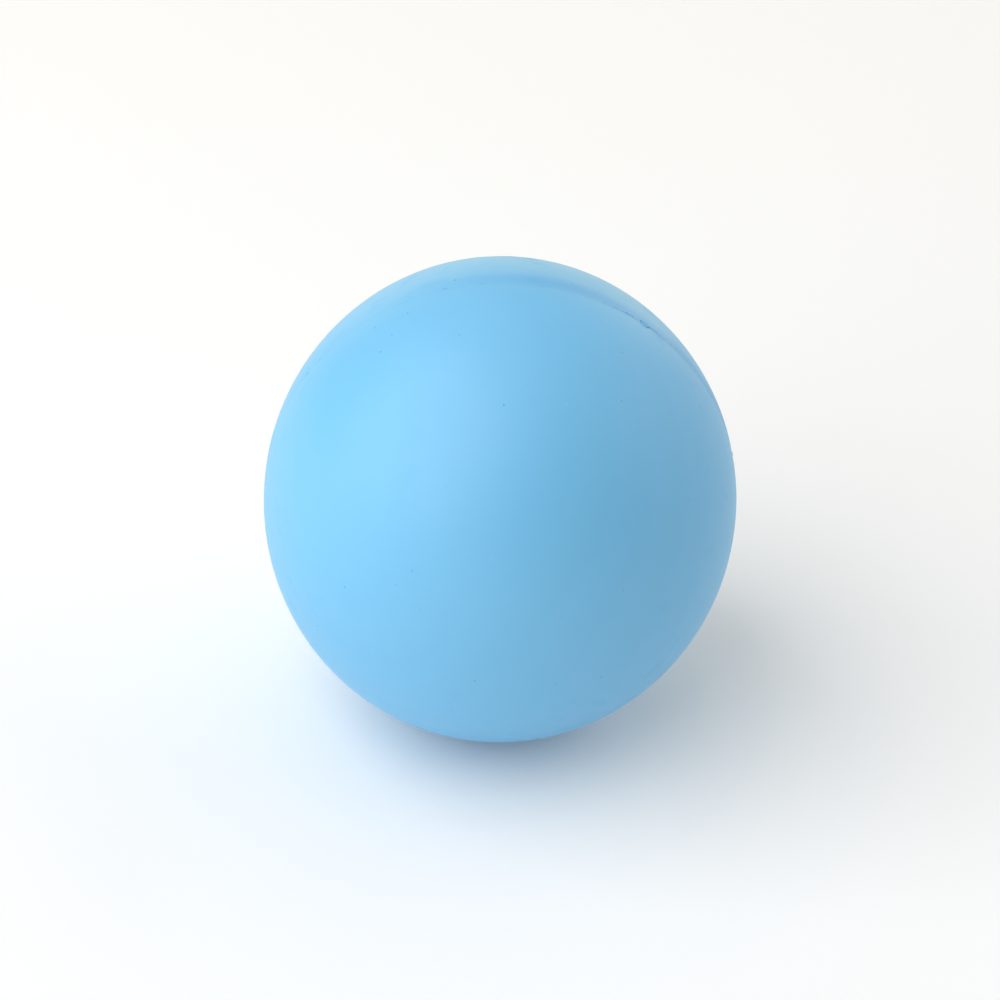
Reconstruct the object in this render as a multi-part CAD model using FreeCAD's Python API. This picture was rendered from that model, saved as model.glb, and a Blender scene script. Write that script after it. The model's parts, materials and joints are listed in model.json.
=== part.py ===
import FreeCAD
import Part
import math
import os

from FreeCAD import Vector

# A foam stress ball, cast in a mould of two halves that part on the XZ plane.
# Millimetres, +Z up, front half towards -Y. The origin is the middle of the flat
# that the knife left where it cut off the pour gate, at the foot of the ball.

# ---- Driving dimensions ----
BALL_WIDTH = 62.4  # side to side, and front to back
BALL_HEIGHT = 64.9  # top to foot, before the gate is cut off
COAT_THICKNESS = 0.2  # colour, sprayed into each mould half before the pour
SKIN_THICKNESS = 1.2  # dense foam that sets against the mould's wall
BOND_GAP = 0.02  # left between bonded layers, so that each is a solid of its own

CUT_WIDTH = 9.0  # across the knife's flat at the foot
GATE_WIDTH = 8.0  # across the pour gate at the cut
GATE_ROOT_WIDTH = 9.0  # across the pour gate where it ends in the core
GATE_DEPTH = 3.2  # from the cut to the gate's root
DAB_THICKNESS = 0.1  # touch-up paint over the cut gate

SEAM_WIDTH = 0.3  # strip between the two coats, which the bead fills
BEAD_HEIGHT = 0.1  # how far the trimmed bead stands above the coats
BEAD_ROUNDING = 0.06  # on the bead's two outer edges

VENT_ANGLE = 58.0  # degrees up the seam, from the +X side
VENT_WIDTH = 1.4  # across the trimmed vent
VENT_HEIGHT = 0.15  # how far the vent's nib stands above the coats
VENT_ROOT = 0.6  # how far the vent's stem reaches into the core

# ---- Derived values ----
HALF_WIDTH = BALL_WIDTH / 2
HALF_HEIGHT = BALL_HEIGHT / 2
CENTRE = Vector(0, 0, HALF_HEIGHT * math.sqrt(1 - (CUT_WIDTH / BALL_WIDTH) ** 2))
SKIN_OUTSIDE = COAT_THICKNESS + BOND_GAP  # depths below the outside of the ball
SKIN_INSIDE = COAT_THICKNESS + SKIN_THICKNESS
CORE_OUTSIDE = SKIN_INSIDE + BOND_GAP
REACH = BALL_HEIGHT  # larger than the ball, for the boxes that trim it
FRONT = -1
REAR = 1


def ellipse_at(depth):
    """The ball's outline on the XZ plane, moved inwards by depth."""
    top = CENTRE + Vector(0, 0, HALF_HEIGHT - depth)
    side = CENTRE + Vector(HALF_WIDTH - depth, 0, 0)
    return Part.Ellipse(top, side, CENTRE)


def spheroid(depth):
    """The solid whose surface lies depth below the outside of the ball."""
    arc = Part.Arc(ellipse_at(depth), 0, math.pi).toShape()
    ends = [vertex.Point for vertex in arc.Vertexes]
    axis_line = Part.LineSegment(ends[1], ends[0]).toShape()
    section = Part.Face(Part.Wire([arc, axis_line]))
    return section.revolve(CENTRE, Vector(0, 0, 1), 360)


def layer(outside, inside):
    """The hollow layer between two depths below the outside of the ball."""
    return spheroid(outside).cut(spheroid(inside))


def above_cut():
    """The space above the knife's cut, as a box."""
    return Part.makeBox(2 * REACH, 2 * REACH, 2 * REACH, Vector(-REACH, -REACH, 0))


def half_space(side, gap):
    """The space on one side of the parting plane, starting gap away from it."""
    start = gap if side == REAR else -REACH - gap
    return Part.makeBox(2 * REACH, REACH, 2 * REACH, Vector(-REACH, start, -REACH / 2))


def gate(clearance=0.0):
    """The cone of foam left in the pour gate, widening towards the core."""
    foot_radius = GATE_WIDTH / 2 + clearance
    root_radius = GATE_ROOT_WIDTH / 2 + clearance
    return Part.makeCone(foot_radius, root_radius, GATE_DEPTH + clearance)


def vent(clearance=0.0):
    """The stem of foam left in the vent, square to the surface, with a rounded nib."""
    angle = math.radians(VENT_ANGLE)
    on_surface = CENTRE + Vector(
        HALF_WIDTH * math.cos(angle), 0, HALF_HEIGHT * math.sin(angle)
    )
    outwards = Vector(
        math.cos(angle) / HALF_WIDTH, 0, math.sin(angle) / HALF_HEIGHT
    ).normalize()
    root = on_surface - outwards * (CORE_OUTSIDE + VENT_ROOT + clearance)
    length = CORE_OUTSIDE + VENT_ROOT + VENT_HEIGHT + clearance
    stem = Part.makeCylinder(VENT_WIDTH / 2 + clearance, length, root, outwards)
    if clearance:
        return stem
    tip = max(stem.Edges, key=lambda edge: edge.BoundBox.Center.sub(root).Length)
    return stem.makeFillet(VENT_HEIGHT, [tip])


def without_gate_and_vent(shape):
    """The shape with room left for the gate and the vent."""
    return shape.cut(gate(BOND_GAP)).cut(vent(BOND_GAP))


def foam_core():
    """The soft open foam that fills the ball."""
    return without_gate_and_vent(spheroid(CORE_OUTSIDE))


def skin(side):
    """One half of the dense skin."""
    half = layer(SKIN_OUTSIDE, SKIN_INSIDE).common(half_space(side, BOND_GAP / 2))
    return without_gate_and_vent(half.common(above_cut()))


def colour_coat(side):
    """One half of the colour coat, which stops short of the parting plane."""
    half = layer(0, COAT_THICKNESS)
    half = half.common(half_space(side, SEAM_WIDTH / 2 + BOND_GAP))
    return without_gate_and_vent(half.common(above_cut()))


def seam_bead():
    """The thin bead on the parting plane, left when the flash was trimmed off."""
    outer = Part.Face(Part.Wire(ellipse_at(-BEAD_HEIGHT).toShape()))
    inner = Part.Face(Part.Wire(ellipse_at(COAT_THICKNESS).toShape()))
    ring = outer.cut(inner).extrude(Vector(0, SEAM_WIDTH, 0))
    ring.translate(Vector(0, -SEAM_WIDTH / 2, 0))
    crown = [edge for edge in ring.Edges if edge.BoundBox.XLength > BALL_WIDTH]
    rounded = ring.makeFillet(BEAD_ROUNDING, crown)
    return without_gate_and_vent(rounded.common(above_cut()))


def gate_stub():
    """The foam in the pour gate, above the dab of paint."""
    return gate().cut(Part.makeCylinder(GATE_ROOT_WIDTH, DAB_THICKNESS + BOND_GAP))


def gate_paint_dab():
    """The dab of touch-up paint, as thin as a brush leaves it, on the cut gate."""
    return gate().common(Part.makeCylinder(GATE_ROOT_WIDTH, DAB_THICKNESS))


def main():
    """Writes one STEP file for each piece."""
    pieces = {
        "foam_core": foam_core(),
        "front_skin": skin(FRONT),
        "rear_skin": skin(REAR),
        "front_colour_coat": colour_coat(FRONT),
        "rear_colour_coat": colour_coat(REAR),
        "seam_bead": seam_bead(),
        "gate_stub": gate_stub(),
        "gate_paint_dab": gate_paint_dab(),
        "vent_nib": vent(),
    }
    os.makedirs("parts", exist_ok=True)
    for node, shape in pieces.items():
        shape.exportStep(f"parts/{node}.step")


main()
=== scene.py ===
"""Looks of a moulded foam stress ball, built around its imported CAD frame.

The ball was cast in a mould of two halves that part on the XZ plane, the front half towards -Y.
Its outside is a flexible satin coat on a dense skin, with a soft foam core inside. What its
making left on it is modelled as well: the trimmed flash on the seam, the cut vent, the cut and
painted pour gate that it rests on, and dust caught in the coat. All lengths are in metres.
"""

import json
import logging
import math
from dataclasses import dataclass, field
from enum import Enum
from functools import cache
from typing import Any

import bmesh
import bpy
from mathutils import Matrix, Vector


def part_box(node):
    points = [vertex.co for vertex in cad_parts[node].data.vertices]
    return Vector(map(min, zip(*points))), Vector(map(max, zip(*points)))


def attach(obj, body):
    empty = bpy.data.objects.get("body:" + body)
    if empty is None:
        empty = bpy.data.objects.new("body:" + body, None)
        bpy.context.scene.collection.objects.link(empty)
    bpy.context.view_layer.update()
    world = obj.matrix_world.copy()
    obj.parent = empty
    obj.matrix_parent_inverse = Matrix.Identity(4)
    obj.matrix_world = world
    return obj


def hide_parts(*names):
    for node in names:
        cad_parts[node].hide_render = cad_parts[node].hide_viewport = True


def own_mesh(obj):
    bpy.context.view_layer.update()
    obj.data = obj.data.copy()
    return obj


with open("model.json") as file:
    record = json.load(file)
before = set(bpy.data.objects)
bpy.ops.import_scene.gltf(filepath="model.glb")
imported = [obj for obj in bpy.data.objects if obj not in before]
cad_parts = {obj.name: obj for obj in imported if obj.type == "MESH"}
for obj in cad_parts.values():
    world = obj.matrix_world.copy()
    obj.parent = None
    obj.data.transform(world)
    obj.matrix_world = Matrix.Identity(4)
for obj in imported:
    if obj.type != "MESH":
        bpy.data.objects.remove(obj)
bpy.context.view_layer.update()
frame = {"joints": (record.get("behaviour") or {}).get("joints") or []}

LOG = logging.getLogger("stress_ball")
MM = 0.001
AT_REST = "at_rest"
UP = Vector((0.0, 0.0, 1.0))

Colour = tuple[float, float, float, float]
Value = Any
Socket = bpy.types.NodeSocket
Piece = bpy.types.Object
Paint = bpy.types.Material


class Side(Enum):
    """The two halves of the mould, by the side of the parting plane that they are on."""

    FRONT = -1
    REAR = 1


class Body(Enum):
    """The bodies of the frame that pieces ride on."""

    CORE = "core"
    FRONT = "front_half"
    REAR = "rear_half"


class Slot(Enum):
    """The record's material slots."""

    OPEN_FOAM = "open_foam"
    DENSE_FOAM = "dense_foam"
    COAT = "colour_coat"
    TOUCH_UP = "touch_up_paint"


def shown(name: str, data: bpy.types.ID) -> Piece:
    """Puts something into the scene.

    Args:
        name: What the new object is called.
        data: Its mesh, its light or its camera.

    Returns:
        The object, at the origin.
    """
    made = bpy.data.objects.new(name, data)
    bpy.context.scene.collection.objects.link(made)
    return made


# ---------------------------------------------------------------------------------------------
# Node trees
# ---------------------------------------------------------------------------------------------


class NodeSheet:
    """A node tree being drawn, for a surface or for geometry."""

    def __init__(self, tree: bpy.types.NodeTree) -> None:
        """Starts drawing on tree."""
        self.tree = tree

    def add(self, kind: str, inputs: dict[Any, Value] | None = None, **settings: Any) -> bpy.types.Node:
        """Adds a node.

        Args:
            kind: The node's type, as Blender names it.
            inputs: What goes into its sockets, by socket name or number: sockets or plain values.
            settings: The node's own settings.

        Returns:
            The new node.
        """
        node = self.tree.nodes.new(kind)
        for name, value in settings.items():
            setattr(node, name, value)
        for name, value in (inputs or {}).items():
            self.feed(node.inputs[name], value)
        return node

    def feed(self, socket: Socket, value: Value) -> None:
        """Links a socket's source to it, or sets its value.

        Args:
            socket: The input socket.
            value: An output socket, or a plain value.
        """
        if isinstance(value, Socket):
            self.tree.links.new(value, socket)
        else:
            socket.default_value = value

    def maths(self, operation: str, *values: Value) -> Socket:
        """Adds one step of arithmetic.

        Args:
            operation: What Blender calls the step, such as "MULTIPLY".
            values: The numbers or sockets that it works on.

        Returns:
            The socket with the answer.
        """
        node = self.add("ShaderNodeMath", dict(enumerate(values)), operation=operation)
        return node.outputs[0]

    def vector(self, x: Value, y: Value, z: Value) -> Socket:
        """Joins three numbers into a vector.

        Args:
            x: The first part.
            y: The second part.
            z: The third part.

        Returns:
            The socket with the vector.
        """
        return self.add("ShaderNodeCombineXYZ", {"X": x, "Y": y, "Z": z}).outputs[0]

    def along(self, operation: str, *values: Value) -> Socket:
        """Adds one step of vector arithmetic.

        Args:
            operation: What Blender calls the step, such as "ADD" or "SCALE".
            values: The vectors that it works on; for "SCALE", the vector and the number.

        Returns:
            The socket with the answer.
        """
        node = self.add("ShaderNodeVectorMath", operation=operation)
        sockets = [node.inputs["Vector"], node.inputs["Scale"]] if operation == "SCALE" else node.inputs
        for socket, value in zip(sockets, values):
            self.feed(socket, value)
        answer = "Value" if operation in ("LENGTH", "DOT_PRODUCT", "DISTANCE") else "Vector"
        return node.outputs[answer]

    def noise(self, at: Value, size: float, detail: float = 2.0) -> Socket:
        """Adds smooth noise from 0 to 1.

        Args:
            at: The vector that the noise is read at, in metres.
            size: How large its patches are, in metres.
            detail: How many finer layers it has.

        Returns:
            The socket with the noise.
        """
        inputs = {"Vector": at, "Scale": 1.0 / size, "Detail": detail}
        return self.add("ShaderNodeTexNoise", inputs).outputs[0]

    def ranged(self, value: Value, source: tuple, target: tuple) -> Socket:
        """Carries a number over from one range to another, with soft ends.

        Args:
            value: The number.
            source: Where its range starts and ends.
            target: What the start and the end become.

        Returns:
            The socket with the new number.
        """
        node = self.add("ShaderNodeMapRange", interpolation_type="SMOOTHSTEP")
        for socket, number in zip(node.inputs, (value, *source, *target)):
            self.feed(socket, number)
        return node.outputs[0]


INPUT_KINDS = {float: "NodeSocketFloat", int: "NodeSocketInt", Paint: "NodeSocketMaterial"}


class GeometrySheet(NodeSheet):
    """A Geometry Nodes tree with named inputs, whose result is baked to a plain mesh."""

    def __init__(self, name: str) -> None:
        """Starts an empty tree.

        Args:
            name: What the tree is called.
        """
        super().__init__(bpy.data.node_groups.new(name, "GeometryNodeTree"))
        self.values: dict[str, Value] = {}
        self.source = self.add("NodeGroupInput")
        self.tree.interface.new_socket("Geometry", in_out="OUTPUT", socket_type="NodeSocketGeometry")

    def given(self, name: str, value: Value) -> Socket:
        """Adds a named input.

        Args:
            name: What the input is called.
            value: What the modifier sets it to: a size, a whole number or a finish.

        Returns:
            The input's socket inside the tree.
        """
        kind = INPUT_KINDS[type(value)]
        self.tree.interface.new_socket(name, in_out="INPUT", socket_type=kind)
        self.values[name] = value
        return self.source.outputs[name]

    def chance(self, low: Value, high: Value, seed: Value, number: int) -> Socket:
        """A random number for each point.

        Args:
            low: The least that it may be.
            high: The most that it may be.
            seed: What fixes the draw.
            number: Which of the tree's draws this is, so that no two are alike.

        Returns:
            The socket with the number.
        """
        node = self.add("FunctionNodeRandomValue", data_type="FLOAT")
        self.feed(node.inputs[2], low)
        self.feed(node.inputs[3], high)
        self.feed(node.inputs["Seed"], self.maths("ADD", seed, 100 * number))
        return node.outputs[1]

    def bake(self, name: str, geometry: Socket, material: Paint) -> Piece:
        """Ends the tree and turns what it makes into an object with a plain mesh.

        Args:
            name: The new object's name.
            geometry: The socket with the geometry.
            material: The finish of the piece.

        Returns:
            The object, at the origin, with its place in its mesh.
        """
        real = self.add("GeometryNodeRealizeInstances", {0: geometry}).outputs[0]
        finish = self.given("Finish", material)
        dressed = self.add("GeometryNodeSetMaterial", {"Geometry": real, "Material": finish}).outputs[0]
        self.add("NodeGroupOutput", {0: dressed})
        holder = shown(name + "_tree", bpy.data.meshes.new(name + "_empty"))
        modifier = holder.modifiers.new("make", "NODES")
        modifier.node_group = self.tree
        for item in self.tree.interface.items_tree:
            if item.item_type == "SOCKET" and item.in_out == "INPUT":
                modifier[item.identifier] = self.values[item.name]
        holder.update_tag()
        bpy.context.view_layer.update()
        made = holder.evaluated_get(bpy.context.evaluated_depsgraph_get())
        mesh = bpy.data.meshes.new_from_object(made)
        mesh.name = name
        mesh.materials.clear()
        mesh.materials.append(material)
        mesh.polygons.foreach_set("material_index", [0] * len(mesh.polygons))
        bpy.data.objects.remove(holder)
        return shown(name, mesh)


# ---------------------------------------------------------------------------------------------
# Finishes
# ---------------------------------------------------------------------------------------------


class SurfaceSheet(NodeSheet):
    """A material being drawn, on a place that stays with the surface as it is squeezed."""

    def __init__(self, name: str, squeezed: bool = True) -> None:
        """Starts a material with a plain shader.

        Args:
            name: What the material is called.
            squeezed: Whether its pieces give, and so carry their place at rest with them.
        """
        self.material = bpy.data.materials.new(name)
        self.material.use_nodes = True
        super().__init__(self.material.node_tree)
        self.shader = self.tree.nodes["Principled BSDF"]
        if squeezed:
            self.place = self.add("ShaderNodeAttribute", attribute_name=AT_REST).outputs["Vector"]
        else:
            self.place = self.add("ShaderNodeTexCoord").outputs["Object"]

    def set(self, **inputs: Value) -> None:
        """Sets the shader's own sockets.

        Args:
            inputs: Values or sockets by socket name, with _ for each space.
        """
        for name, value in inputs.items():
            self.feed(self.shader.inputs[name.replace("_", " ")], value)

    def mixed(self, share: Value, first: Value, second: Value) -> Socket:
        """Mixes two colours.

        Args:
            share: How much of the second, from 0 to 1.
            first: The colour at 0.
            second: The colour at 1.

        Returns:
            The socket with the mixed colour.
        """
        node = self.add("ShaderNodeMix", data_type="RGBA")
        self.feed(node.inputs["Factor"], share)
        self.feed(node.inputs[6], first)
        self.feed(node.inputs[7], second)
        return node.outputs[2]

    def bumped(self, height: Value, depth: float) -> None:
        """Roughens the shader's normal.

        Args:
            height: The socket with the height, from 0 to 1.
            depth: How deep the relief is, in metres.
        """
        bump = self.add("ShaderNodeBump", {"Height": height, "Distance": depth})
        self.feed(self.shader.inputs["Normal"], bump.outputs[0])


@dataclass(frozen=True)
class CoatFinish:
    """Flexible satin paint, sprayed into the mould before the foam is poured."""

    name: str = "satin_blue_coat"
    colour: Colour = (0.172, 0.515, 0.812, 1.0)
    thin_colour: Colour = (0.190, 0.530, 0.822, 1.0)
    # Painted shade: the darker tone laid in a band along the parting line's crease.
    seam_shade_colour: Colour = (0.112, 0.405, 0.760, 1.0)
    # Painted shade: the dark tone laid in the pinholes.
    pit_shade_colour: Colour = (0.060, 0.210, 0.380, 1.0)
    roughness: float = 0.42
    patch: float = 9.0 * MM
    mottle: float = 0.9 * MM
    peel: float = 0.45 * MM
    peel_depth: float = 0.004 * MM
    seam_reach: float = 2.4 * MM
    seam_shade_share: float = 0.6
    seam_drift: tuple[float, float] = (1.3 * MM, 0.4 * MM)
    seam_drift_ends: tuple[float, float] = (4 * MM, 22 * MM)
    # The seam's painted shade is weakest on the -X side, under the key light.
    lit_side_shade_share: float = 0.06
    clean_side_ends: tuple[float, float] = (-17 * MM, 10 * MM)
    pit_spacing: float = 4.2 * MM
    pit_radius: float = 0.13 * MM
    pit_shade_share: float = 0.8
    pit_sinks: float = 12.0
    scuff: float = 3.2 * MM
    scuff_ends: tuple[float, float] = (0.56, 0.72)
    scuff_dulls: float = 0.12

    def material(self) -> Paint:
        """Makes the material.

        Returns:
            The paint: cloudy and finely peeled from spraying, with painted shade in a band along the
            parting line, pinholes darkened with painted shade, and the dull scuffs of handling.
        """
        sheet = SurfaceSheet(self.name)
        clouds = sheet.noise(sheet.place, self.patch, 3.0)
        mottle = sheet.noise(sheet.place, self.mottle, 2.0)
        share = sheet.maths("MULTIPLY_ADD", mottle, 0.4, sheet.maths("MULTIPLY", clouds, 0.6))
        tone = sheet.mixed(share, self.colour, self.thin_colour)
        # Painted shade: darkens the coat in a band along the seam, less on the lit -X side.
        tone = sheet.mixed(self.painted_seam_shade(sheet, mottle), tone, self.seam_shade_colour)
        # Pinholes: sunk by the bump below, and darkened with painted shade towards the pit colour.
        cells = sheet.add("ShaderNodeTexVoronoi", {"Vector": sheet.place, "Scale": 1.0 / self.pit_spacing})
        edge = self.pit_radius / self.pit_spacing
        pit = sheet.ranged(cells.outputs["Distance"], (edge, edge * 0.4), (0.0, 1.0))
        pit_shade = sheet.maths("MULTIPLY", pit, self.pit_shade_share)
        sheet.set(Base_Color=sheet.mixed(pit_shade, tone, self.pit_shade_colour))
        rubbed = sheet.noise(sheet.place, self.scuff, 4.0)
        scuffed = sheet.ranged(rubbed, self.scuff_ends, (0.0, self.scuff_dulls))
        rough = sheet.maths("MULTIPLY_ADD", mottle, 0.06, self.roughness - 0.03)
        sheet.set(Roughness=sheet.maths("ADD", rough, scuffed), IOR=1.46)
        peel = sheet.noise(sheet.place, self.peel, 2.0)
        sheet.bumped(sheet.maths("MULTIPLY_ADD", pit, -self.pit_sinks, peel), self.peel_depth)
        return sheet.material

    def painted_seam_shade(self, sheet: SurfaceSheet, mottle: Value) -> Socket:
        """How much painted shade a place gets, in a band along the seam that fades on the lit -X side.

        Args:
            sheet: The material being made.
            mottle: The noise that frays the painted shade's edge.

        Returns:
            The socket with the share, from 0 to 1.
        """
        at = sheet.add("ShaderNodeSeparateXYZ", {0: sheet.place})
        drift = sheet.ranged(at.outputs["X"], self.seam_drift_ends, self.seam_drift)
        off_seam = sheet.maths("ABSOLUTE", sheet.maths("SUBTRACT", at.outputs["Y"], drift))
        frayed = sheet.maths("MULTIPLY_ADD", mottle, 0.25 * self.seam_reach, off_seam)
        shares = (self.lit_side_shade_share, self.seam_shade_share)
        most = sheet.ranged(at.outputs["X"], self.clean_side_ends, shares)
        near = sheet.ranged(frayed, (0.1 * self.seam_reach, 1.2 * self.seam_reach), (1.0, 0.0))
        return sheet.maths("MULTIPLY", near, most)


@dataclass(frozen=True)
class FoamFinish:
    """Cream polyurethane foam, open-celled in the core and dense in the skin."""

    name: str
    colour: Colour
    cell_shade_colour: Colour
    cell: float
    cell_depth: float
    roughness: float

    @cache
    def material(self) -> Paint:
        """Makes the material, once for all its pieces.

        Returns:
            The foam, with painted shade darkening its cell hollows.
        """
        sheet = SurfaceSheet(self.name)
        cells = sheet.add("ShaderNodeTexVoronoi", {"Vector": sheet.place, "Scale": 1.0 / self.cell})
        depth = cells.outputs["Distance"]
        # Painted shade: the cells' hollows darkened towards the cell colour.
        sheet.set(Base_Color=sheet.mixed(depth, self.cell_shade_colour, self.colour))
        sheet.set(Roughness=self.roughness)
        sheet.bumped(depth, self.cell_depth)
        return sheet.material


@dataclass(frozen=True)
class BrushedFinish:
    """Touch-up paint laid on by brush, over foam."""

    name: str = "brushed_touch_up"
    colour: Colour = (0.140, 0.430, 0.740, 1.0)
    thin_colour: Colour = (0.200, 0.500, 0.780, 1.0)
    stroke: float = 0.35 * MM
    stretch: float = 0.12
    depth: float = 0.03 * MM
    roughness: float = 0.36

    def material(self) -> Paint:
        """Makes the material.

        Returns:
            The paint, thick and thin along the strokes of the brush.
        """
        sheet = SurfaceSheet(self.name)
        drawn_out = sheet.along("MULTIPLY", sheet.place, (self.stretch, 1.0, 1.0))
        strokes = sheet.noise(drawn_out, self.stroke, 2.0)
        sheet.set(Base_Color=sheet.mixed(strokes, self.colour, self.thin_colour))
        sheet.set(Roughness=self.roughness)
        sheet.bumped(strokes, self.depth)
        return sheet.material


@dataclass(frozen=True)
class SpeckFinish:
    """A grain of dust that the coat flowed over."""

    name: str
    colour: Colour
    other_colour: Colour
    roughness: float = 0.6
    patch: float = 3.0 * MM

    def material(self) -> Paint:
        """Makes the material.

        Returns:
            The speck's colour, which varies from one speck to the next.
        """
        sheet = SurfaceSheet(self.name)
        share = sheet.noise(sheet.place, self.patch, 0.0)
        sheet.set(Base_Color=sheet.mixed(share, self.colour, self.other_colour))
        sheet.set(Roughness=self.roughness)
        return sheet.material


OPEN_FOAM = FoamFinish(
    name="open_cream_foam",
    colour=(0.80, 0.74, 0.58, 1.0),
    cell_shade_colour=(0.52, 0.45, 0.31, 1.0),
    cell=0.8 * MM,
    cell_depth=0.25 * MM,
    roughness=0.92,
)
DENSE_FOAM = FoamFinish(
    name="dense_cream_skin",
    colour=(0.76, 0.69, 0.52, 1.0),
    cell_shade_colour=(0.64, 0.57, 0.41, 1.0),
    cell=0.25 * MM,
    cell_depth=0.02 * MM,
    roughness=0.7,
)
PALE_SPECK = SpeckFinish("pale_speck", (0.30, 0.60, 0.86, 1.0), (0.22, 0.53, 0.82, 1.0))
DARK_SPECK = SpeckFinish("dark_speck", (0.07, 0.20, 0.36, 1.0), (0.11, 0.33, 0.58, 1.0))


# ---------------------------------------------------------------------------------------------
# The ball's own shape
# ---------------------------------------------------------------------------------------------


@dataclass
class BallForm:
    """The outside of the ball and what its mould and its trimming did to it."""

    low: Vector = field(default_factory=lambda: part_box("front_colour_coat")[0])
    high: Vector = field(default_factory=lambda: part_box("front_colour_coat")[1])
    gate_low: Vector = field(default_factory=lambda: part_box("gate_paint_dab")[0])
    gate_high: Vector = field(default_factory=lambda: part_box("gate_stub")[1])
    vent_low: Vector = field(default_factory=lambda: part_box("vent_nib")[0])
    vent_high: Vector = field(default_factory=lambda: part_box("vent_nib")[1])
    cut_width: float = 9.0 * MM
    coat: float = 0.2 * MM
    skin: float = 1.2 * MM
    gap: float = 0.02 * MM
    seam_gap: float = 0.17 * MM
    trough_width: float = 1.3 * MM
    trough_depth: float = 0.06 * MM
    trough_patch: float = 0.16
    clean_side: float = 0.25
    clean_side_ends: tuple[float, float] = (-0.55, 0.35)
    bead_sinks: float = 0.9
    wobble: float = 0.045 * MM
    wobble_patch: float = 0.9
    vent_width: float = 1.4 * MM
    row_crowding: float = 1.6
    weld: float = 0.0002 * MM
    sharp_edge: float = math.radians(35)

    @property
    def half_width(self) -> float:
        """Half the width of the ball."""
        return (self.high.x - self.low.x) / 2

    @property
    def half_height(self) -> float:
        """Half the height of the ball, as if the gate's cut were not there."""
        flat = math.sqrt(1 - (self.cut_width / 2 / self.half_width) ** 2)
        return self.high.z / (1 + flat)

    @property
    def centre(self) -> Vector:
        """The middle of the ball."""
        return Vector((0.0, 0.0, self.high.z - self.half_height))

    def vent_place(self) -> tuple[Vector, Vector]:
        """Finds the vent.

        Returns:
            The point on the ball where the vent is, and the direction that it points in.
        """
        middle = (self.vent_low + self.vent_high) / 2 - self.centre
        stretch = Vector((middle.x / self.half_width, 0, middle.z / self.half_height)).normalized()
        point = self.centre + Vector((stretch.x * self.half_width, 0, stretch.z * self.half_height))
        outwards = Vector((stretch.x / self.half_width, 0, stretch.z / self.half_height))
        return point, outwards.normalized()


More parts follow.
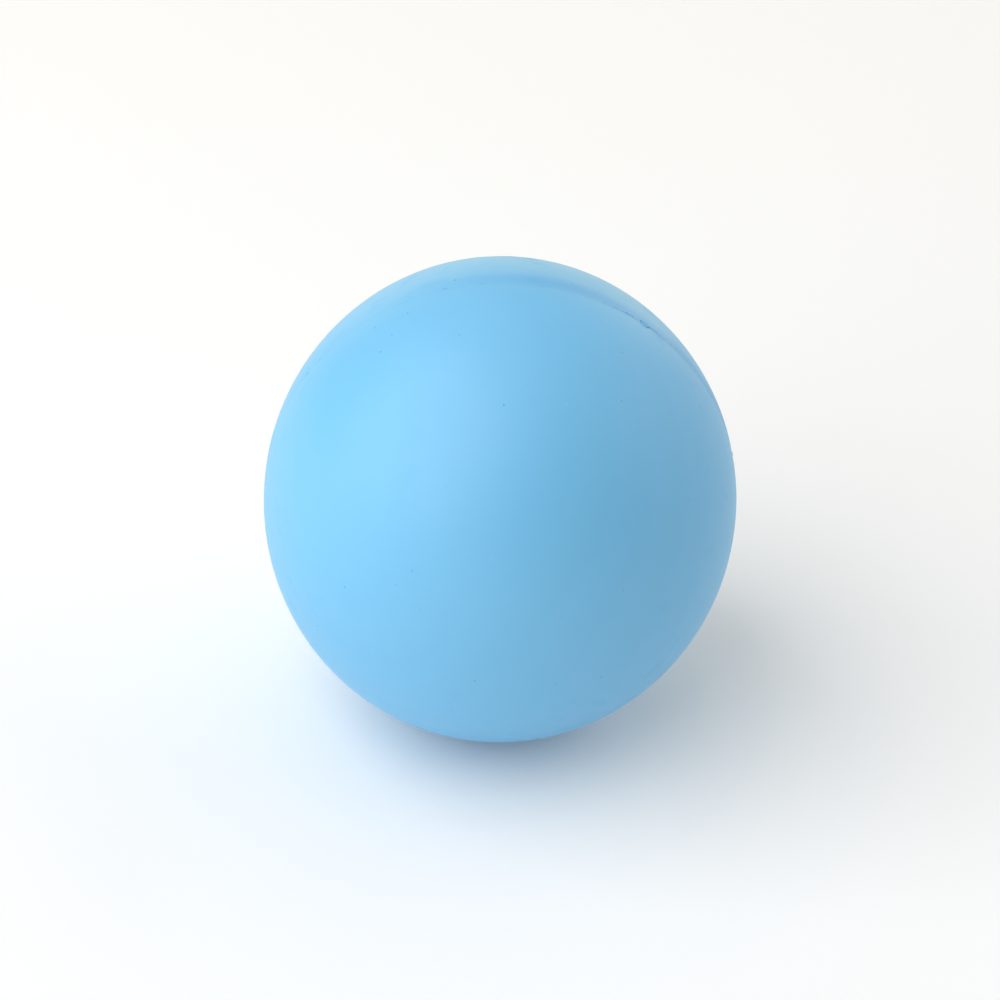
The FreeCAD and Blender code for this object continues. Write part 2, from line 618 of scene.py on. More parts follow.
class BallSheet(GeometrySheet):
    """A geometry tree that can lay surfaces on the ball."""

    def __init__(self, name: str, form: BallForm) -> None:
        """Starts a tree for the ball.

        Args:
            name: What the tree is called.
            form: The shape of the ball.
        """
        super().__init__(name)
        self.form = form
        self.half_width = self.given("Half width", form.half_width)
        self.half_height = self.given("Half height", form.half_height)
        self.centre_z = self.given("Centre height", form.centre.z)
        self.trough_width = self.given("Trough width", form.trough_width)
        self.trough_depth = self.given("Trough depth", form.trough_depth)
        self.wobble = self.given("Wobble", form.wobble)
        self.clean_side = self.given("Clean side", form.clean_side)

    def uneven(self, direction: Value) -> Socket:
        """How far the mould's own wobble takes the surface off the true ball.

        Args:
            direction: The unit vector from the middle of the ball.

        Returns:
            The socket with the distance, positive outwards.
        """
        slow = self.noise(direction, self.form.wobble_patch, 1.0)
        return self.maths("MULTIPLY", self.maths("SUBTRACT", slow, 0.5), self.wobble)

    def trough(self, direction: Value) -> Socket:
        """How deep the soft trough is that trimming left on both sides of the seam.

        Args:
            direction: The unit vector from the middle of the ball.

        Returns:
            The socket with the depth.
        """
        at = self.add("ShaderNodeSeparateXYZ", {0: direction})
        off_seam = self.maths("MULTIPLY", self.maths("ABSOLUTE", at.outputs["Y"]), self.half_width)
        distance = self.maths("DIVIDE", off_seam, self.trough_width)
        dip = self.maths("EXPONENT", self.maths("MULTIPLY", self.maths("POWER", distance, 2.0), -1.0))
        patches = self.noise(direction, self.form.trough_patch, 2.0)
        worn = self.maths("MULTIPLY_ADD", patches, 0.7, 0.6)
        kept = self.ranged(at.outputs["X"], self.form.clean_side_ends, (self.clean_side, 1.0))
        cut = self.maths("MULTIPLY", self.maths("MULTIPLY", dip, worn), kept)
        return self.maths("MULTIPLY", cut, self.trough_depth)

    def placed(self, direction: Value, depth: Value, off_plane: Value, sinks: Value) -> Socket:
        """The place on or below a point of the ball.

        Args:
            direction: The unit vector from the middle of the ball.
            depth: How far below the outside it lies.
            off_plane: How far it is moved off the parting plane.
            sinks: How much of the trough's depth it follows.

        Returns:
            The socket with the place.
        """
        wide = self.maths("SUBTRACT", self.half_width, depth)
        high = self.maths("SUBTRACT", self.half_height, depth)
        true = self.along("MULTIPLY", direction, self.vector(wide, wide, high))
        lifted = self.along("ADD", true, self.vector(0.0, off_plane, self.centre_z))
        sunk = self.maths("MULTIPLY", self.trough(direction), sinks)
        relief = self.maths("SUBTRACT", self.uneven(direction), sunk)
        return self.along("ADD", lifted, self.along("SCALE", direction, relief))

    def on_ball(self, around: Value, polar: Value, side: Side, depth: Value) -> Socket:
        """The place on the ball of a point given by two angles.

        Args:
            around: The angle about the Y axis, in radians.
            polar: The angle from the pole of its half, in radians.
            side: The half that it is on.
            depth: How far below the outside it lies.

        Returns:
            The socket with the place.
        """
        out = self.maths("SINE", polar)
        x = self.maths("MULTIPLY", out, self.maths("COSINE", around))
        y = self.maths("MULTIPLY", self.maths("COSINE", polar), float(side.value))
        z = self.maths("MULTIPLY", out, self.maths("SINE", around))
        return self.placed(self.vector(x, y, z), depth, 0.0, 1.0)

    def on_seam(self, turn: Value, off_plane: Value, depth: Value) -> Socket:
        """A place on or near the parting line.

        Args:
            turn: The angle up the seam from the +X side, in radians.
            off_plane: How far from the parting plane it lies.
            depth: How far below the outside of the ball it lies.

        Returns:
            The socket with the place.
        """
        direction = self.vector(self.maths("COSINE", turn), 0.0, self.maths("SINE", turn))
        return self.placed(direction, depth, off_plane, self.form.bead_sinks)

    def net(self, around: Value, rows: Value) -> tuple[Socket, ...]:
        """A flat net of faces, to be laid on the ball.

        Args:
            around: How many faces it has round the ball.
            rows: How many rows of faces it has.

        Returns:
            The net, and each point's share of the way round it and up it, from 0 to 1.
        """
        inputs = {
            "Size X": 1.0,
            "Size Y": 1.0,
            "Vertices X": self.maths("ADD", around, 1),
            "Vertices Y": self.maths("ADD", rows, 1),
        }
        grid = self.add("GeometryNodeMeshGrid", inputs).outputs[0]
        at = self.add("ShaderNodeSeparateXYZ", {0: self.add("GeometryNodeInputPosition").outputs[0]})
        return grid, self.maths("ADD", at.outputs["X"], 0.5), self.maths("ADD", at.outputs["Y"], 0.5)

    def laid(self, net: Value, place: Value) -> Socket:
        """Moves a net's points to their places and returns it."""
        return self.add("GeometryNodeSetPosition", {"Geometry": net, "Position": place}).outputs[0]

    def cap(self, side: Side, depth: Value, edge_gap: Value, around: Value, rows: Value) -> Socket:
        """One half of the ball's surface, with closer rows towards the seam.

        Args:
            side: The half.
            depth: How far below the outside it lies.
            edge_gap: How far from the parting plane it stops.
            around: How many faces it has round the ball.
            rows: How many rows of faces it has from pole to seam.

        Returns:
            The surface, facing outwards.
        """
        net, share, up = self.net(around, rows)
        turn = self.maths("MULTIPLY", share, side.value * math.tau)
        left = self.maths("POWER", self.maths("SUBTRACT", 1.0, up), self.form.row_crowding)
        edge = self.maths("ARCCOSINE", self.maths("DIVIDE", edge_gap, self.half_width))
        polar = self.maths("MULTIPLY", self.maths("SUBTRACT", 1.0, left), edge)
        return self.laid(net, self.on_ball(turn, polar, side, depth))

    def rim(self, side: Side, outside: Value, inside: Value, edge_gap: Value, around: Value) -> Socket:
        """The narrow face that closes a half shell along the seam.

        Args:
            side: The half.
            outside: How far below the outside of the ball the shell starts.
            inside: How far below the outside of the ball it ends.
            edge_gap: How far from the parting plane it stops.
            around: How many faces it has round the ball.

        Returns:
            The face, turned towards the other half.
        """
        net, share, up = self.net(around, 2)
        turn = self.maths("MULTIPLY", share, side.value * math.tau)
        edge = self.maths("ARCCOSINE", self.maths("DIVIDE", edge_gap, self.half_width))
        depth = self.maths("MULTIPLY_ADD", up, self.maths("SUBTRACT", inside, outside), outside)
        return self.laid(net, self.on_ball(turn, edge, side, depth))

    def moved(self, geometry: Value, to: Value, turn: Value = (0.0, 0.0, 0.0)) -> Socket:
        """Turns a shape and then moves it.

        Args:
            geometry: The shape.
            to: Where its middle goes.
            turn: How far it turns about each axis, in radians.

        Returns:
            The shape in its place.
        """
        inputs = {"Geometry": geometry, "Translation": to, "Rotation": turn}
        return self.add("GeometryNodeTransform", inputs).outputs[0]

    def gate_tool(self, grow: float) -> Socket:
        """The cone of the pour gate.

        Args:
            grow: How much wider than the gate it is, all round.

        Returns:
            The cone, running from well below the cut to the gate's root.
        """
        form = self.form
        foot, root = form.gate_low.x, form.gate_high.x
        slope = (root + foot) / form.gate_high.z
        below = 2 * MM
        inputs = {
            "Vertices": 96,
            "Radius Top": root + grow,
            "Radius Bottom": -foot + grow - slope * below,
            "Depth": form.gate_high.z + grow + below,
        }
        cone = self.add("GeometryNodeMeshCone", inputs).outputs[0]
        return self.moved(cone, (0.0, 0.0, -below))

    def vent_tool(self, grow: float) -> Socket:
        """The stem of the vent, as a rod through the surface.

        Args:
            grow: How much wider than the vent it is, all round.

        Returns:
            The rod.
        """
        point, outwards = self.form.vent_place()
        length = 2 * (self.form.coat + self.form.skin + 0.7 * MM)
        inputs = {"Vertices": 32, "Radius": self.form.vent_width / 2 + grow, "Depth": length}
        rod = self.add("GeometryNodeMeshCylinder", inputs).outputs[0]
        return self.moved(rod, point, outwards.to_track_quat("Z", "Y").to_euler())

    def floor_tool(self) -> Socket:
        """The space below the knife's cut.

        Returns:
            The space, as a box.
        """
        wide, thick = 4 * self.form.half_width, 4 * MM
        box = self.add("GeometryNodeMeshCube", {"Size": (wide, wide, thick)}).outputs[0]
        return self.moved(box, (0.0, 0.0, -thick / 2))

    def trimmed(self, geometry: Value) -> Socket:
        """Cuts the foot flat, and leaves room for the gate and the vent.

        Args:
            geometry: The closed shape to cut.

        Returns:
            The cut shape.
        """
        node = self.add("GeometryNodeMeshBoolean", operation="DIFFERENCE", solver="MANIFOLD")
        self.feed(node.inputs["Mesh 1"], geometry)
        for tool in (self.gate_tool(self.form.gap), self.vent_tool(self.form.gap), self.floor_tool()):
            self.tree.links.new(tool, node.inputs["Mesh 2"])
        return node.outputs["Mesh"]

    def closed(self, *parts: Value) -> Socket:
        """Joins surfaces that share their edges into one closed shape.

        Args:
            parts: The surfaces.

        Returns:
            The closed shape.
        """
        joined = self.add("GeometryNodeJoinGeometry")
        for part in parts:
            self.tree.links.new(part, joined.inputs[0])
        merge = {"Geometry": joined.outputs[0], "Distance": self.form.weld}
        return self.add("GeometryNodeMergeByDistance", merge).outputs[0]

    def smooth(self, geometry: Value) -> Socket:
        """Shades a shape smooth, but for its sharp edges.

        Args:
            geometry: The shape.

        Returns:
            The shaded shape.
        """
        soft = self.add("GeometryNodeSetShadeSmooth", {"Geometry": geometry}).outputs[0]
        angle = self.add("GeometryNodeInputMeshEdgeAngle").outputs[0]
        flat = self.maths("LESS_THAN", angle, self.form.sharp_edge)
        return self.add(
            "GeometryNodeSetShadeSmooth", {"Geometry": soft, "Shade Smooth": flat}, domain="EDGE"
        ).outputs[0]


# ---------------------------------------------------------------------------------------------
# Sub-assemblies
# ---------------------------------------------------------------------------------------------


HALVES = ((Side.FRONT, "front", Body.FRONT), (Side.REAR, "rear", Body.REAR))


def dress(node: str) -> None:
    """Hides the CAD node that a piece stands in for.

    Args:
        node: The CAD node that it stands for.
    """
    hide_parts(node)


@dataclass
class Squeeze:
    """How the pieces give when the two halves are pressed together."""

    form: BallForm
    travel: float = field(
        default_factory=lambda: next(
            joint["range_m"][1] for joint in frame["joints"] if joint["name"] == "front_squeeze"
        )
    )

    @property
    def keep(self) -> float:
        """The share of the ball's width that is left at the end of the squeeze."""
        return 1 - self.travel / self.form.half_width

    def give(self, piece: Piece, body: Body) -> None:
        """Rides a piece on its body, and stores on its mesh the place of each point at rest.

        Args:
            piece: The piece, in place.
            body: The body that it rides on.
        """
        places = [part for vert in piece.data.vertices for part in vert.co]
        piece.data.attributes.new(AT_REST, "FLOAT_VECTOR", "POINT").data.foreach_set("vector", places)
        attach(piece, body.value)
        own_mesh(piece)


@dataclass
class HalfShells:
    """The colour coat and the dense skin of both halves."""

    form: BallForm
    squeeze: Squeeze
    coat_around: int = 384
    coat_rows: int = 150
    skin_around: int = 192
    skin_rows: int = 60

    def shell(
        self,
        name: str,
        side: Side,
        depths: tuple[float, float],
        edge_gap: float,
        faces: tuple[int, int],
        material: Paint,
    ) -> Piece:
        """Makes one half shell.

        Args:
            name: The piece's name.
            side: The half.
            depths: How far below the outside of the ball it starts and ends.
            edge_gap: How far from the parting plane it stops.
            faces: How many faces it has round the ball and from pole to seam.
            material: Its finish.

        Returns:
            The piece.
        """
        sheet = BallSheet(name + "_rule", self.form)
        outside = sheet.given("Outside", depths[0])
        inside = sheet.given("Inside", depths[1])
        gap = sheet.given("Seam gap", edge_gap)
        around = sheet.given("Faces around", faces[0])
        rows = sheet.given("Rows", faces[1])
        inner_rows = sheet.maths("DIVIDE", rows, 3)
        outer = sheet.cap(side, outside, gap, around, rows)
        inner = sheet.cap(side, inside, gap, around, inner_rows)
        turned = sheet.add("GeometryNodeFlipFaces", {0: inner}).outputs[0]
        rim = sheet.rim(side, outside, inside, gap, around)
        whole = sheet.trimmed(sheet.closed(outer, rim, turned))
        return sheet.bake(name, sheet.smooth(whole), material)

    def build(self) -> list[Piece]:
        """Makes the four half shells.

        Returns:
            The pieces, each riding on its half.
        """
        coat, skin = CoatFinish().material(), DENSE_FOAM.material()
        form = self.form
        coat_faces = (self.coat_around, self.coat_rows)
        skin_faces = (self.skin_around, self.skin_rows)
        coat_depths = (0.0, form.coat)
        skin_depths = (form.coat + form.gap, form.coat + form.skin)
        made = []
        for side, word, body in HALVES:
            over = self.shell(f"{word}_coat_shell", side, coat_depths, form.seam_gap, coat_faces, coat)
            self.squeeze.give(over, body)
            dress(f"{word}_colour_coat")
            under = self.shell(f"{word}_skin_shell", side, skin_depths, form.gap / 2, skin_faces, skin)
            self.squeeze.give(under, body)
            dress(f"{word}_skin")
            made += [over, under]
        return made


@dataclass
class FoamHeart:
    """The open foam that fills the ball."""

    form: BallForm
    squeeze: Squeeze
    around: int = 256
    rows: int = 72
    pit_depth: float = 0.12 * MM
    pit_size: float = 2.2 * MM

    def build(self) -> list[Piece]:
        """Makes the core.

        Returns:
            The one piece, riding on the core's body.
        """
        form = self.form
        sheet = BallSheet("foam_heart_rule", form)
        depth = sheet.given("Depth", form.coat + form.skin + form.gap)
        around = sheet.given("Faces around", self.around)
        rows = sheet.given("Rows", self.rows)
        pits = sheet.given("Pit depth", self.pit_depth)
        pit_size = sheet.given("Pit size", self.pit_size)
        ball = sheet.closed(*[sheet.cap(side, depth, 0.0, around, rows) for side in Side])
        place = sheet.add("GeometryNodeInputPosition").outputs[0]
        scale = sheet.maths("DIVIDE", 1.0, pit_size)
        share = sheet.add("ShaderNodeTexNoise", {"Vector": place, "Scale": scale}).outputs[0]
        sunk = sheet.maths("MULTIPLY", sheet.maths("MULTIPLY", share, pits), -1.0)
        offset = sheet.along("SCALE", sheet.add("GeometryNodeInputNormal").outputs[0], sunk)
        pitted = sheet.add("GeometryNodeSetPosition", {"Geometry": ball, "Offset": offset}).outputs[0]
        whole = sheet.trimmed(pitted)
        core = sheet.bake("foam_heart", sheet.smooth(whole), OPEN_FOAM.material())
        self.squeeze.give(core, Body.CORE)
        dress("foam_core")
        return [core]


@dataclass
class Seam:
    """The trimmed flash on the parting line, with the slivers that the knife lifted."""

    form: BallForm
    squeeze: Squeeze
    around: int = 900
    edges: int = 24
    half_width: float = 0.15 * MM
    half_height: float = 0.2 * MM
    lap: float = 2.2
    middle_depth: float = 0.172 * MM
    raggedness: float = 0.22
    squareness: float = 0.3
    cut_height: float = 0.88
    slivers: int = 46
    slivers_at_vent: int = 16
    sliver_length: float = 0.9 * MM
    sliver_radius: float = 0.055 * MM
    sliver_stray: float = 0.1 * MM

    def bead(self, material: Paint) -> Piece:
        """Makes the bead.

        Args:
            material: Its finish.

        Returns:
            The piece.
        """
        sheet = BallSheet("seam_bead_rule", self.form)
        around = sheet.given("Faces around", self.around)
        edges = sheet.given("Edges", self.edges)
        wide = sheet.given("Bead half width", self.half_width)
        high = sheet.given("Bead half height", self.half_height)
        middle = sheet.given("Bead depth", self.middle_depth)
        ragged = sheet.given("Raggedness", self.raggedness)
        lap = sheet.given("Lap", self.lap)
        net, share, up = sheet.net(around, edges)
        turn = sheet.maths("MULTIPLY", share, math.tau)
        loop = sheet.maths("MULTIPLY", up, math.tau)
        way = sheet.vector(sheet.maths("COSINE", turn), 0.0, sheet.maths("SINE", turn))
        nicks = sheet.maths("SUBTRACT", sheet.noise(way, 0.035, 3.0), 0.5)
        cut = sheet.maths("MULTIPLY_ADD", nicks, ragged, self.cut_height)
        rise = self.squared(sheet, "SINE", loop)
        lift = sheet.maths("MULTIPLY", sheet.maths("MULTIPLY", rise, high), cut)
        frayed = sheet.maths("MULTIPLY_ADD", sheet.noise(way, 0.02, 2.0), lap, 1.0)
        flare = sheet.ranged(rise, (0.9, 0.955), (1.0, frayed))
        across = sheet.maths("MULTIPLY", self.squared(sheet, "COSINE", loop), flare)
        off_plane = sheet.maths("MULTIPLY", across, wide)
        depth = sheet.maths("SUBTRACT", middle, lift)
        ring = sheet.closed(sheet.laid(net, sheet.on_seam(turn, off_plane, depth)))
        return sheet.bake("seam_trimmed_bead", sheet.smooth(sheet.trimmed(ring)), material)

    def squared(self, sheet: BallSheet, wave: str, turn: Value) -> Socket:
        """One way across a round section that is pushed out towards a square.

        Args:
            sheet: The tree being drawn.
            wave: "SINE" for the way up, or "COSINE" for the way across.
            turn: The angle round the section.

        Returns:
            The socket with the distance, from -1 to 1.
        """
        steps = sheet.maths("TRUNC", sheet.maths("MULTIPLY", sheet.maths(wave, turn), 1e4))
        plain = sheet.maths("DIVIDE", steps, 1e4)
        size = sheet.maths("POWER", sheet.maths("ABSOLUTE", plain), self.squareness)
        return sheet.maths("MULTIPLY", sheet.maths("SIGN", plain), size)

    def lifted_slivers(
        self, name: str, count: int, span: tuple[float, float], seed: int, material: Paint
    ) -> Piece:
        """Scatters slivers of flash along a stretch of the seam.

        Args:
            name: The piece's name.
            count: How many slivers.
            span: Where the stretch starts and ends, in degrees up the seam from the +X side.
            seed: What fixes their places.
            material: Their finish.

        Returns:
            The piece.
        """
        sheet = BallSheet(name + "_rule", self.form)
        number = sheet.given("Count", count)
        start = sheet.given("Start", math.radians(span[0]))
        end = sheet.given("End", math.radians(span[1]))
        length = sheet.given("Length", self.sliver_length)
        draw = sheet.given("Seed", seed)
        turn = sheet.chance(start, end, draw, 1)
        stray = sheet.chance(-self.sliver_stray, self.sliver_stray, draw, 2)
        place = sheet.on_seam(turn, stray, -0.01 * MM)
        points = sheet.add("GeometryNodePoints", {"Count": number, "Position": place}).outputs[0]
        cone = {"Vertices": 5, "Radius Top": 0.0, "Radius Bottom": self.sliver_radius, "Depth": length}
        sliver = sheet.add("GeometryNodeMeshCone", cone).outputs[0]
        tilt = sheet.chance(-0.12, 0.16, draw, 3)
        about_y = sheet.maths("SUBTRACT", tilt, turn)
        facing = sheet.vector(0.0, about_y, sheet.chance(-0.25, 0.25, draw, 4))
        size = sheet.chance(0.35, 1.0, draw, 5)
        inputs = {"Points": points, "Instance": sliver, "Rotation": facing, "Scale": size}
        cluster = sheet.add("GeometryNodeInstanceOnPoints", inputs).outputs[0]
        return sheet.bake(name, cluster, material)

    def build(self) -> list[Piece]:
        """Makes the bead and its slivers.

        Returns:
            The pieces, riding on the core's body.
        """
        paint = CoatFinish(name="satin_blue_flash", roughness=0.5).material()
        point, _ = self.form.vent_place()
        away = point - self.form.centre
        vent = math.degrees(math.atan2(away.z / self.form.half_height, away.x / self.form.half_width))
        near_vent = (vent - 20, vent + 9)
        bead = self.bead(paint)
        made = [
            bead,
            self.lifted_slivers("seam_slivers", self.slivers, (-70, 250), 11, paint),
            self.lifted_slivers("vent_slivers", self.slivers_at_vent, near_vent, 5, paint),
        ]
        for piece in made:
            self.squeeze.give(piece, Body.CORE)
        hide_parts("seam_bead")
        return made


class Lathe:
    """A closed shape of rings about an axis, whose rim may wander."""

    def __init__(self, segments: int, rings: tuple[tuple[float, ...], ...]) -> None:
        """Turns the rings, from the foot up.

        Args:
            segments: How many points a ring has.
            rings: For each ring its radius, its height on the axis and, where it isn't true, how far
                it wanders in and out as a share of the radius, and how far one side of it is lifted.
        """
        self.segments = segments
        self.mesh = bmesh.new()
        self.rings = [self.ring(*ring) for ring in rings]

    def ring(
        self, radius: float, height: float, wander: float = 0.0, tilt: float = 0.0
    ) -> list[bmesh.types.BMVert]:
        """Adds a ring of points.

        Args:
            radius: Its radius.
            height: Its height on the axis.
            wander: How far its points wander in and out, as a share of the radius.
            tilt: How far one side of it is lifted, and the other lowered.

        Returns:
            The points.
        """
        verts = []
        for i in range(self.segments):
            turn = math.tau * i / self.segments
            wave = math.sin(3 * turn + 1.1) + 0.6 * math.sin(7 * turn) + 0.4 * math.sin(11 * turn + 2.0)
            out = radius * (1 + wander * wave / 2)
            up = height + tilt * math.cos(turn)
            verts.append(self.mesh.verts.new((out * math.cos(turn), out * math.sin(turn), up)))
        return verts

    def finish(self, name: str, material: Paint, at: Vector, facing: Vector) -> Piece:
        """Closes the shape and puts it in place.

        Args:
            name: The piece's name.
            material: Its finish.
            at: Where the foot of its axis goes.
            facing: The way that its axis points.

        Returns:
            The piece, at the origin, with its place in its mesh.
        """
        for low, high in zip(self.rings, self.rings[1:]):
            for i in range(self.segments):
                j = (i + 1) % self.segments
                self.mesh.faces.new((low[i], low[j], high[j], high[i]))
        self.mesh.faces.new(list(reversed(self.rings[0])))
        self.mesh.faces.new(self.rings[-1])
        bmesh.ops.recalc_face_normals(self.mesh, faces=self.mesh.faces)
        mesh = bpy.data.meshes.new(name)
        self.mesh.to_mesh(mesh)
        self.mesh.free()
        turn = facing.to_track_quat("Z", "Y").to_matrix().to_4x4()
        mesh.transform(Matrix.Translation(at) @ turn)
        mesh.polygons.foreach_set("use_smooth", [len(p.vertices) == 4 for p in mesh.polygons])
        mesh.materials.append(material)
        return shown(name, mesh)


@dataclass
class TrimMarks:
    """What the knife left of the vent and of the pour gate."""

    form: BallForm
    squeeze: Squeeze
    segments: int = 72

    def vent_nib(self) -> Piece:
        """Makes the trimmed vent.

        Returns:
            The piece: a stem through the skin, cut a little aslant, with a lip round the cut.
        """
        point, outwards = self.form.vent_place()
        radius = self.form.vent_width / 2 - self.form.gap
        root = self.form.coat + self.form.skin + 0.5 * MM
        rings = (
            (radius * 0.7, 0.0),
            (radius * 0.95, 0.1 * MM),
            (radius * 0.97, root - 0.25 * MM),
            (radius * 0.96, root - 0.06 * MM, 0.03, 0.02 * MM),
            (radius * 0.86, root + 0.04 * MM, 0.10, 0.03 * MM),
            (radius * 0.66, root + 0.01 * MM, 0.16, 0.03 * MM),
            (radius * 0.30, root - 0.03 * MM, 0.1, 0.02 * MM),
        )
        paint = CoatFinish(name="satin_blue_vent", roughness=0.52).material()
        return Lathe(32, rings).finish("vent_cut_nib", paint, point - outwards * root, outwards)

    def gate_stub(self) -> Piece:
        """Makes the stub of foam in the pour gate.

        Returns:
            The piece: a cone that widens upwards to a rough, domed root.
        """
        gap, root = self.form.gap, self.form.gate_high
        foot, top = -self.form.gate_low.x - gap, root.x - gap
        start = self.form.gate_low.z + 0.12 * MM
        shares = (0.0, 0.03, 0.25, 0.5, 0.75, 0.9)
        cone = [(foot + (top - foot) * share, start + (root.z - start) * share) for share in shares]
        rings = (
            *cone,
            (top * 0.93, root.z - 0.1 * MM, 0.02),
            (top * 0.75, root.z - 0.05 * MM, 0.05),
            (top * 0.45, root.z - 0.02 * MM, 0.08),
        )
        return Lathe(self.segments, rings).finish("gate_foam_stub", DENSE_FOAM.material(), Vector(), UP)

    def gate_dab(self) -> Piece:
        """Makes the dab of touch-up paint.

        Returns:
            The piece: a thin disc that bears on the ground, with the wavering edge of a brushed dab.
        """
        radius = -self.form.gate_low.x - 0.06 * MM
        rings = (
            (radius * 0.955, 0.0, 0.02),
            (radius * 0.975, 0.03 * MM, 0.02),
            (radius * 0.965, 0.08 * MM, 0.02),
            (radius * 0.92, 0.1 * MM, 0.02),
        )
        paint = BrushedFinish().material()
        return Lathe(self.segments, rings).finish("gate_brushed_dab", paint, Vector(), UP)

    def build(self) -> list[Piece]:
        """Makes all three.

        Returns:
            The pieces, riding on the core's body.
        """
        made = [
            (self.vent_nib(), "vent_nib", Slot.COAT),
            (self.gate_stub(), "gate_stub", Slot.DENSE_FOAM),
            (self.gate_dab(), "gate_paint_dab", Slot.TOUCH_UP),
        ]
        for piece, node, slot in made:
            self.squeeze.give(piece, Body.CORE)
            dress(node)
        return [piece for piece, _, _ in made]


@dataclass
class Dust:
    """Grains that the coat flowed over, scattered on both halves."""

    form: BallForm
    squeeze: Squeeze
    pale_count: float = 90.0
    dark_count: float = 26.0
    smallest: float = 0.045 * MM
    largest: float = 0.12 * MM
    flatness: float = 0.4
    seam_clearance: float = 0.6 * MM
    foot_clearance: float = 1.0 * MM

    def grains(self, name: str, side: Side, count: float, seed: int, material: Paint) -> Piece:
        """Scatters one kind of grain on one half.

        Args:
            name: The piece's name.
            side: The half.
            count: About how many grains.
            seed: What fixes their places.
            material: Their finish.

        Returns:
            The piece.
        """
        form = self.form
        sheet = BallSheet(name + "_rule", form)
        number = sheet.given("Count", count)
        smallest = sheet.given("Smallest", self.smallest)
        largest = sheet.given("Largest", self.largest)
        flatness = sheet.given("Flatness", self.flatness)
        draw = sheet.given("Seed", seed)
        half = sheet.cap(side, 0.0, self.seam_clearance, 96, 40)
        area = math.tau * form.half_width * form.half_height
        spacing = {"Mesh": half, "Density": sheet.maths("DIVIDE", number, area), "Seed": draw}
        spread = sheet.add("GeometryNodeDistributePointsOnFaces", spacing)
        place = sheet.add("ShaderNodeSeparateXYZ", {0: sheet.add("GeometryNodeInputPosition").outputs[0]})
        at_foot = sheet.maths("LESS_THAN", place.outputs["Z"], self.foot_clearance)
        strays = {"Geometry": spread.outputs["Points"], "Selection": at_foot}
        kept = sheet.add("GeometryNodeDeleteGeometry", strays).outputs[0]
        grain = sheet.add("GeometryNodeMeshIcoSphere", {"Radius": 1.0, "Subdivisions": 2}).outputs[0]
        size = sheet.chance(smallest, largest, draw, 3)
        inputs = {
            "Points": kept,
            "Instance": sheet.add("GeometryNodeSetShadeSmooth", {"Geometry": grain}).outputs[0],
            "Rotation": spread.outputs["Rotation"],
            "Scale": sheet.vector(size, size, sheet.maths("MULTIPLY", size, flatness)),
        }
        cluster = sheet.add("GeometryNodeInstanceOnPoints", inputs).outputs[0]
        return sheet.bake(name, cluster, material)

    def build(self) -> list[Piece]:
        """Makes the pale and the dark grains of both halves.

        Returns:
            The pieces, each riding on its half.
        """
        kinds = (
            ("pale", self.pale_count, 3, PALE_SPECK.material()),
            ("dark", self.dark_count, 8, DARK_SPECK.material()),
        )
        made = []
        for side, word, body in HALVES:
            for kind, count, seed, paint in kinds:
                piece = self.grains(f"{word}_{kind}_grains", side, count, seed + side.value, paint)
                self.squeeze.give(piece, body)
                made.append(piece)
        return made


def towards(azimuth: float, elevation: float) -> Vector:
    """The way from the ball to a lamp or to the camera.

    Args:
        azimuth: The angle about Z, in degrees; 0 is the front, at -Y.
        elevation: The angle above the floor, in degrees.

    Returns:
        The unit vector.
    """
    a, e = math.radians(azimuth), math.radians(elevation)
    return Vector((math.sin(a) * math.cos(e), -math.cos(a) * math.cos(e), math.sin(e)))


@dataclass(frozen=True)
class Softbox:
    """A flat soft light that faces the ball."""

    name: str
    azimuth: float
    elevation: float
    width: float
    height: float
    power: float
    distance: float = 0.9
    colour: tuple[float, float, float] = (1.0, 1.0, 1.0)

    def hang(self, target: Vector) -> None:
        """Hangs it up.

        Args:
            target: The place that it faces.
        """
        back = towards(self.azimuth, self.elevation)
        data = bpy.data.lights.new(self.name, "AREA")
        data.shape = "RECTANGLE"
        data.size, data.size_y = self.width, self.height
        data.energy = self.power
        data.color = self.colour
        light = shown(self.name, data)
        light.location = target + back * self.distance
        light.rotation_euler = (-back).to_track_quat("-Z", "Y").to_euler()


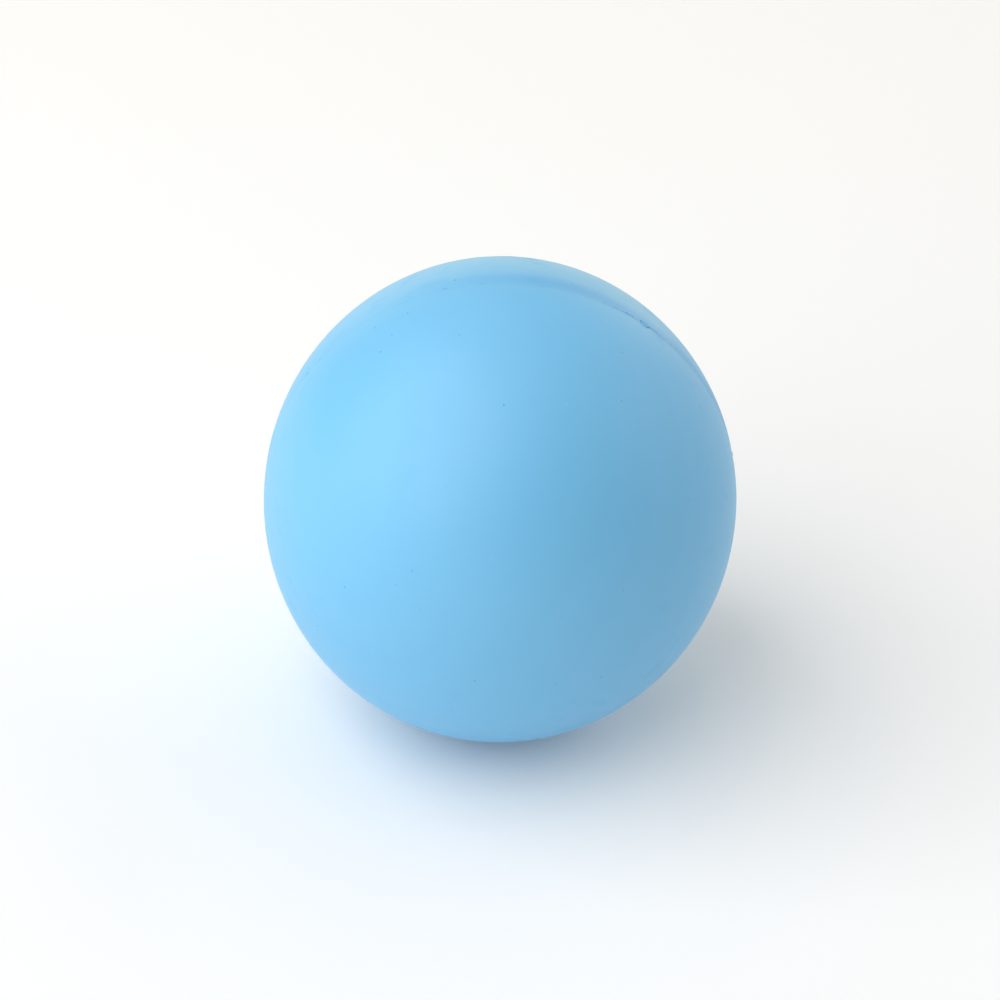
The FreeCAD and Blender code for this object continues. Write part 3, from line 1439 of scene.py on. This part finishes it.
@dataclass
class Studio:
    """The pale floor, the soft lights and the camera."""

    form: BallForm
    softboxes: tuple[Softbox, ...] = (
        Softbox("key_softbox", -61.5, 39.0, 1.23, 1.20, 10.9),
        Softbox("far_softbox", 115.0, 28.0, 1.50, 0.90, 4.5),
        Softbox("low_back_strip", 180.0, 8.0, 1.20, 0.40, 1.9, colour=(1.0, 0.85, 0.42)),
        Softbox("high_back_softbox", -145.0, 55.0, 1.00, 0.70, 1.3),
        Softbox("top_softbox", 0.0, 84.0, 0.70, 0.70, 0.9),
    )
    room: float = 0.12
    backdrop: float = 0.94
    floor_radius: float = 1.0
    floor_colour: Colour = (0.93, 0.93, 0.93, 1.0)
    floor_glow: tuple[float, float] = (0.03, 0.9)
    glow_ends: tuple[float, float] = (0.4, 0.95)
    azimuth: float = -4.0
    elevation: float = 31.9
    roll: float = 5.0
    lens: float = 100.0
    fill: float = 0.4727

    def camera(self) -> None:
        """Makes the camera, far enough away for the ball to fill its share of the picture."""
        data = bpy.data.cameras.new("camera")
        data.lens = self.lens
        half_view = math.atan(data.sensor_width / 2 / self.lens)
        half_ball = math.atan(math.tan(half_view) * self.fill)
        distance = self.form.half_width / math.sin(half_ball)
        back = towards(self.azimuth, self.elevation)
        camera = shown("camera", data)
        camera.location = self.form.centre + back * distance
        turn = (-back).to_track_quat("-Z", "Y").to_matrix().to_4x4()
        camera.rotation_euler = (turn @ Matrix.Rotation(math.radians(self.roll), 4, "Z")).to_euler()
        bpy.context.scene.camera = camera

    def floor(self) -> None:
        """Lays the floor, which glows far from the ball."""
        mesh = bpy.data.meshes.new("floor")
        sheet = bmesh.new()
        bmesh.ops.create_circle(sheet, cap_ends=True, segments=96, radius=self.floor_radius)
        sheet.to_mesh(mesh)
        sheet.free()
        paint = SurfaceSheet("floor_paint", squeezed=False)
        paint.set(Base_Color=self.floor_colour, Roughness=0.9)
        reach = paint.along("LENGTH", paint.place)
        glow = paint.ranged(reach, self.glow_ends, self.floor_glow)
        paint.set(Emission_Color=(1.0, 1.0, 1.0, 1.0), Emission_Strength=glow)
        mesh.materials.append(paint.material)
        shown("floor", mesh)

    def lights(self) -> None:
        """Hangs the softboxes in a dim room, in front of pale paper."""
        world = bpy.data.worlds.new("studio")
        world.use_nodes = True
        sheet = NodeSheet(world.node_tree)
        in_view = sheet.add("ShaderNodeLightPath").outputs["Is Camera Ray"]
        level = sheet.ranged(in_view, (0.0, 1.0), (self.room, self.backdrop))
        paper = world.node_tree.nodes["Background"]
        paper.inputs["Color"].default_value = (1, 1, 1, 1)
        sheet.feed(paper.inputs["Strength"], level)
        bpy.context.scene.world = world
        for softbox in self.softboxes:
            softbox.hang(self.form.centre)

    def build(self) -> None:
        """Sets the studio up."""
        self.camera()
        self.floor()
        self.lights()
        bpy.context.scene.view_settings.view_transform = "Standard"


def main() -> None:
    """Builds the ball, piece by piece, and the studio round it."""
    logging.basicConfig(level=logging.INFO, format="%(message)s")
    form = BallForm()
    squeeze = Squeeze(form)
    for part in (HalfShells, FoamHeart, Seam, TrimMarks, Dust):
        for piece in part(form, squeeze).build():
            LOG.info("%s: %d faces", piece.name, len(piece.data.polygons))
    Studio(form).build()


if __name__ == "__main__":
    main()
